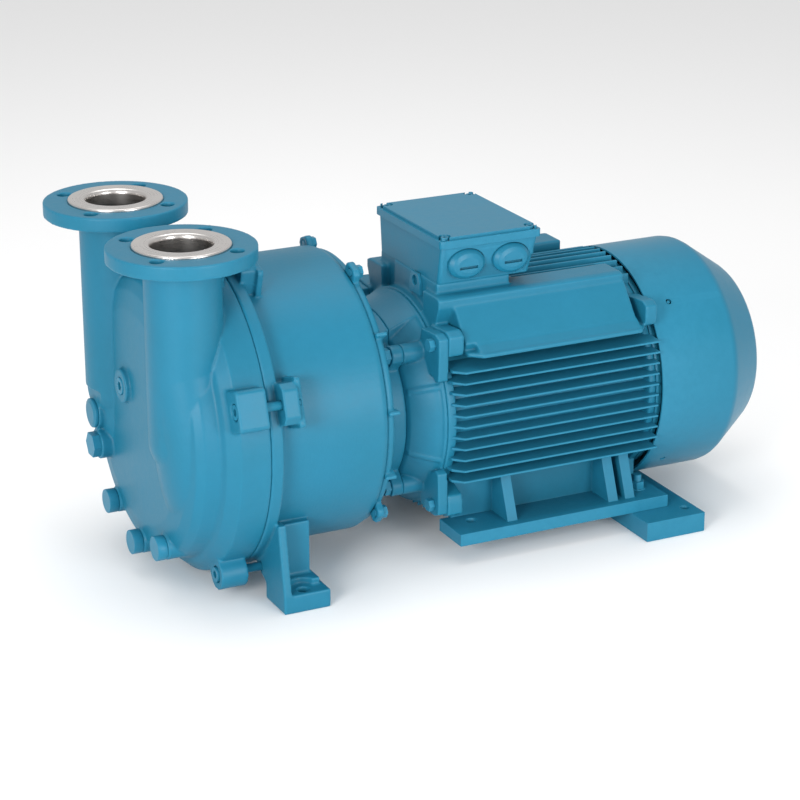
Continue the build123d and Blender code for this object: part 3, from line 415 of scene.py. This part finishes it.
# Fan cowl: pressed steel hood with a crisp cone at the rear, an air grille of
# rings on spokes, and four screw holes near its mouth.
cowl_form = bmesh.new()
turning(cowl_form, [(542, 157), (542, 159.5), (653, 159.5), (659, 158.4), (664, 155.6), (668, 152.6), (716, 119.6),
                    (720, 116.2), (722, 112), (722, 100), (719.5, 100), (719.5, 111), (718, 114.5), (714, 117.5),
                    (666, 150.5), (661, 154), (657, 156), (652, 157)], AXIS, 160)
hood = piece_of("cowl_hood", cowl_form, sheet_paint, "housing")
punch_form = bmesh.new()
for turn in (45, 135, 225, 315):
    away = Vector((0, math.cos(math.radians(turn)), math.sin(math.radians(turn))))
    swing = away.to_track_quat("Z", "X").to_matrix().to_4x4()
    swing.translation = Vector((0.575, 0, 0.187)) + away * 0.158
    bmesh.ops.create_cone(punch_form, cap_ends=True, segments=24, radius1=0.0042, radius2=0.0042, depth=0.02,
                          matrix=swing)
punch = piece_of("punch", punch_form, sheet_paint, "housing")
holes = hood.modifiers.new("holes", "BOOLEAN")
holes.operation = "DIFFERENCE"
holes.object = punch
holes.solver = "EXACT"
pressed = bpy.data.meshes.new_from_object(hood.evaluated_get(bpy.context.evaluated_depsgraph_get()))
hood.modifiers.clear()
hood.data = pressed
bpy.data.objects.remove(punch)
shade(hood, 40)
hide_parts("fan_cowl")
grille_form = bmesh.new()
for low, high in ((84, 94), (68, 78), (52, 62), (36, 46)):
    turning(grille_form, [(719.6, low), (719.6, high), (721.4, high), (722, high - 0.8), (722, low + 0.8),
                          (721.4, low)], AXIS, 96)
turning(grille_form, [(719.6, 0), (719.6, 30), (721.4, 30), (722, 29), (722, 0)], AXIS, 72)
for k in range(8):
    turn = math.radians(45 * k + 22.5)
    c, q = math.cos(turn), math.sin(turn)
    prism(grille_form, "X", 719.9, 721.7, [(a * c - b * q, AXIS + a * q + b * c)
                                           for a, b in ((12, -4), (108, -4), (108, 4), (12, 4))])
grille = piece_of("cowl_grille", grille_form, sheet_paint, "housing")
shade(grille, 30)
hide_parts("fan_cowl")

# Port rings: stainless steel ring let into each flange, its face turned in fine
# circles, its mouth flared and polished.
turned_lines, lines_in, lines_out = effect(
    "turned_lines",
    [("Centre", "NodeSocketVector", (0, 0, 0)), ("Pitch", VALUE, 900.0), ("Base", COLOUR, (0.6, 0.6, 0.6, 1)),
     ("Roughness", VALUE, 0.3)],
    [("Colour", COLOUR), ("Roughness", VALUE), ("Height", VALUE)])
here = turned_lines.nodes.new("ShaderNodeTexCoord").outputs["Object"]
from_axis = put(turned_lines, "ShaderNodeVectorMath", {"operation": "SUBTRACT"})
turned_lines.links.new(here, from_axis.inputs[0])
turned_lines.links.new(lines_in.outputs["Centre"], from_axis.inputs[1])
apart = put(turned_lines, "ShaderNodeSeparateXYZ", (), {"Vector": from_axis.outputs["Vector"]})
flat_place = put(turned_lines, "ShaderNodeCombineXYZ", (), {"X": apart.outputs["X"], "Y": apart.outputs["Y"]})
reach = put(turned_lines, "ShaderNodeVectorMath", {"operation": "LENGTH"}, {"Vector": flat_place.outputs["Vector"]})
groove_place = put(turned_lines, "ShaderNodeCombineXYZ", (),
                   {"X": join(turned_lines, reach.outputs["Value"], lines_in.outputs["Pitch"]),
                    "Y": join(turned_lines, apart.outputs["Z"], lines_in.outputs["Pitch"])})
grooves = put(turned_lines, "ShaderNodeTexNoise", {"Scale": 1.0, "Detail": 3, "Roughness": 0.7},
              {"Vector": groove_place.outputs["Vector"]}).outputs["Fac"]
smears = cloudy(turned_lines, 40, 4)
metal_bright = join(turned_lines, spread(turned_lines, grooves, 0.86, 1.12), spread(turned_lines, smears, 0.92, 1.08))
metal_tone = put(turned_lines, "ShaderNodeHueSaturation", (),
                 {"Color": lines_in.outputs["Base"], "Value": metal_bright})
turned_lines.links.new(metal_tone.outputs["Color"], lines_out.inputs["Colour"])
metal_rough = join(turned_lines, spread(turned_lines, grooves, -0.06, 0.1), spread(turned_lines, smears, -0.05, 0.07),
                   "ADD")
turned_lines.links.new(join(turned_lines, metal_rough, lines_in.outputs["Roughness"], "ADD"),
                       lines_out.inputs["Roughness"])
turned_lines.links.new(grooves, lines_out.inputs["Height"])


def turned_metal(name, base, roughness, centre, pitch=900.0, depth=0.25):
    """Machined metal with fine turning lines about a centre."""
    material = bpy.data.materials.new(name)
    material.use_nodes = True
    tree = material.node_tree
    shader = tree.nodes["Principled BSDF"]
    lines = put(tree, "ShaderNodeGroup", {"node_tree": turned_lines})
    lines.inputs["Centre"].default_value = centre
    lines.inputs["Pitch"].default_value = pitch
    lines.inputs["Base"].default_value = base + (1,)
    lines.inputs["Roughness"].default_value = roughness
    skin = put(tree, "ShaderNodeBump", {"Strength": depth, "Distance": 0.0002}, {"Height": lines.outputs["Height"]})
    tree.links.new(lines.outputs["Colour"], shader.inputs["Base Color"])
    tree.links.new(lines.outputs["Roughness"], shader.inputs["Roughness"])
    tree.links.new(skin.outputs["Normal"], shader.inputs["Normal"])
    shader.inputs["Metallic"].default_value = 1
    return material


def port_ring(name, node, y):
    """Stainless ring of one port: rounded rim, flat face, flared mouth, sleeve."""
    form = bmesh.new()
    outline = [(410, 38), (410, 41), (465, 41), (465, 61), (470.4, 61), (471.6, 60.8), (472.5, 60.1), (473, 59),
               (473, 42.5), (472.7, 41.2), (471.8, 39.8), (470.4, 38.8), (468.5, 38.2), (466, 38)]
    steps = 160
    rings = [[form.verts.new(((-120 + r * math.cos(2 * math.pi * i / steps)) / 1000,
                              (y + r * math.sin(2 * math.pi * i / steps)) / 1000, z / 1000)) for i in range(steps)]
             for z, r in outline]
    for i, ring in enumerate(rings):
        after = rings[(i + 1) % len(rings)]
        for k in range(steps):
            form.faces.new((ring[k], ring[(k + 1) % steps], after[(k + 1) % steps], after[k]))
    metal = turned_metal(name + "_steel", (0.60, 0.575, 0.555), 0.26, (-0.120, y / 1000, 0))
    ring_piece = piece_of(name, form, metal, "housing")
    shade(ring_piece, 50)
    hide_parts(node)


port_ring("suction_ring", "suction_port_ring", 114.5)
port_ring("discharge_ring", "discharge_port_ring", -114.5)

# Terminal box and its lid: cast aluminium, painted with the rest; the lid is
# held by four sunk socket screws over a thin rubber gasket.
finish("terminal_box", cast_paint, 1.4, 40)
finish("terminal_box_lid", machined_paint, 1.2, 40)
finish("lid_screws", bolt_paint, 0.4)
finish("blanking_plugs", machined_paint, 0.8, 20)
finish("lifting_lug", sheet_paint, 0.8)

# Feet and sole bar: cast motor feet with gussets, bolted at the rear to a flat
# steel bar that lies across under them.
finish("motor_foot_near", cast_paint, 1.6)
finish("motor_foot_far", cast_paint, 1.6)
finish("sole_bar", machined_paint, 1.0)
finish("foot_bolts", bolt_paint, 0.6)
finish("foot_nuts", bolt_paint, 0.6)

# Outside fasteners and plugs: turned and forged steel, screwed in and painted
# over with the pump.
for fixing in ("tie_bolts", "drive_cover_bolts", "neck_bolts", "shield_bolts", "cowl_screws"):
    finish(fixing, bolt_paint, 0.7)
for plug in ("socket_plug", "round_plug", "hex_plug", "drain_plugs"):
    finish(plug, bolt_paint, 0.9)
finish("rear_end_shield", cast_paint, 1.0)

# Inside steel: shaft, key, nut, bearings and fan clip, turned and ground.
MOTOR_LINE = (0, 0, 0.187)
ground_steel = turned_metal("ground_steel", (0.50, 0.50, 0.52), 0.3, MOTOR_LINE, 500.0, 0.15)
bearing_steel = turned_metal("bearing_steel", (0.58, 0.58, 0.60), 0.16, MOTOR_LINE, 700.0, 0.05)
for inside in ("motor_shaft", "impeller_key", "impeller_nut", "fan_clip"):
    finish(inside, ground_steel, 0.3)
for side in ("drive", "rear"):
    for ring in ("outer", "inner", "balls"):
        finish("bearing_" + side + "_" + ring, bearing_steel, 0)

# Impeller and port plate: bronze casting on the shaft, running close to a
# ground stainless plate with the port openings.
finish("impeller", turned_metal("cast_bronze", (0.55, 0.36, 0.16), 0.42, MOTOR_LINE, 300.0, 0.3), 0.8)
finish("port_plate", turned_metal("ground_plate", (0.5, 0.5, 0.5), 0.3, MOTOR_LINE, 800.0, 0.2), 0.4)

# Stator and rotor cores: stacks of thin electrical steel sheets, seen as fine
# stripes along the shaft, with varnished copper wound through the slots.
stacked, stacked_in, stacked_out = effect(
    "stacked_sheets",
    [("Light", COLOUR, (0.32, 0.32, 0.34, 1)), ("Dark", COLOUR, (0.1, 0.1, 0.11, 1)), ("Count", VALUE, 900.0)],
    [("Colour", COLOUR), ("Roughness", VALUE), ("Height", VALUE)])
along = put(stacked, "ShaderNodeSeparateXYZ", (),
            {"Vector": stacked.nodes.new("ShaderNodeTexCoord").outputs["Object"]}).outputs["X"]
stripe = join(stacked, join(stacked, along, stacked_in.outputs["Count"]), 0, "FRACT")
soft_stripe = join(stacked, spread(stacked, stripe, 0, 1, 0.1, 0.5), spread(stacked, cloudy(stacked, 60, 3), 0.6, 1.1))
stacked.links.new(tint(stacked, soft_stripe, stacked_in.outputs["Dark"], stacked_in.outputs["Light"]),
                  stacked_out.inputs["Colour"])
stacked.links.new(spread(stacked, soft_stripe, 0.6, 0.35), stacked_out.inputs["Roughness"])
stacked.links.new(soft_stripe, stacked_out.inputs["Height"])


def striped(name, light, dark, count, metallic):
    """Sheet stack or winding with fine stripes across the shaft."""
    material = bpy.data.materials.new(name)
    material.use_nodes = True
    tree = material.node_tree
    shader = tree.nodes["Principled BSDF"]
    sheets = put(tree, "ShaderNodeGroup", {"node_tree": stacked})
    sheets.inputs["Light"].default_value = light + (1,)
    sheets.inputs["Dark"].default_value = dark + (1,)
    sheets.inputs["Count"].default_value = count
    skin = put(tree, "ShaderNodeBump", {"Strength": 0.4, "Distance": 0.0004}, {"Height": sheets.outputs["Height"]})
    tree.links.new(sheets.outputs["Colour"], shader.inputs["Base Color"])
    tree.links.new(sheets.outputs["Roughness"], shader.inputs["Roughness"])
    tree.links.new(skin.outputs["Normal"], shader.inputs["Normal"])
    shader.inputs["Metallic"].default_value = metallic
    return material


sheet_stack = striped("sheet_stack", (0.32, 0.32, 0.34), (0.1, 0.1, 0.11), 900.0, 0.8)
finish("stator_core", sheet_stack, 0)
finish("rotor_core", sheet_stack, 0)
finish("stator_windings", striped("varnished_copper", (0.5, 0.2, 0.08), (0.2, 0.06, 0.02), 600.0, 0.6), 0.8)

# Seals, gaskets and moulded parts: rubber rings, a carbon ring on a ceramic
# seat with its spring, a fluoroplastic valve strip, and the plastic fan.
dull_skin, dull_in, dull_out = effect(
    "moulded_skin", [("Base", COLOUR, (0.03, 0.03, 0.03, 1)), ("Roughness", VALUE, 0.6), ("Grain", VALUE, 300.0)],
    [("Colour", COLOUR), ("Roughness", VALUE), ("Height", VALUE)])
dull_place = dull_skin.nodes.new("ShaderNodeTexCoord").outputs["Object"]
dull_grain = put(dull_skin, "ShaderNodeTexNoise", {"Detail": 4, "Roughness": 0.6},
                 {"Vector": dull_place, "Scale": dull_in.outputs["Grain"]}).outputs["Fac"]
dull_tone = put(dull_skin, "ShaderNodeHueSaturation", (),
                {"Color": dull_in.outputs["Base"], "Value": spread(dull_skin, dull_grain, 0.75, 1.3)})
dull_skin.links.new(dull_tone.outputs["Color"], dull_out.inputs["Colour"])
dull_skin.links.new(join(dull_skin, spread(dull_skin, dull_grain, -0.08, 0.1), dull_in.outputs["Roughness"], "ADD"),
                    dull_out.inputs["Roughness"])
dull_skin.links.new(dull_grain, dull_out.inputs["Height"])


def moulded(name, base, roughness, grain):
    """Rubber, plastic, carbon or ceramic with a fine grain."""
    material = bpy.data.materials.new(name)
    material.use_nodes = True
    tree = material.node_tree
    shader = tree.nodes["Principled BSDF"]
    skin_group = put(tree, "ShaderNodeGroup", {"node_tree": dull_skin})
    skin_group.inputs["Base"].default_value = base + (1,)
    skin_group.inputs["Roughness"].default_value = roughness
    skin_group.inputs["Grain"].default_value = grain
    skin = put(tree, "ShaderNodeBump", {"Strength": 0.3, "Distance": 0.0003}, {"Height": skin_group.outputs["Height"]})
    tree.links.new(skin_group.outputs["Colour"], shader.inputs["Base Color"])
    tree.links.new(skin_group.outputs["Roughness"], shader.inputs["Roughness"])
    tree.links.new(skin.outputs["Normal"], shader.inputs["Normal"])
    return material


black_rubber = moulded("black_rubber", (0.02, 0.02, 0.02), 0.75, 400.0)
for seal in ("cover_seal", "drive_cover_seal", "lid_gasket"):
    finish(seal, black_rubber, 0)
black_plastic = moulded("black_plastic", (0.03, 0.03, 0.035), 0.5, 250.0)
finish("fan", black_plastic, 0.6)
finish("terminal_board", black_plastic, 0.5)
finish("seal_seat", moulded("lapped_ceramic", (0.75, 0.72, 0.66), 0.25, 500.0), 0.3)
finish("seal_ring", moulded("lapped_carbon", (0.05, 0.05, 0.055), 0.4, 500.0), 0.3)
finish("valve_plate", moulded("white_fluoroplastic", (0.75, 0.75, 0.72), 0.5, 200.0), 0.3)
finish("seal_spring", turned_metal("drawn_wire", (0.55, 0.55, 0.56), 0.25, MOTOR_LINE, 600.0, 0.1), 0)
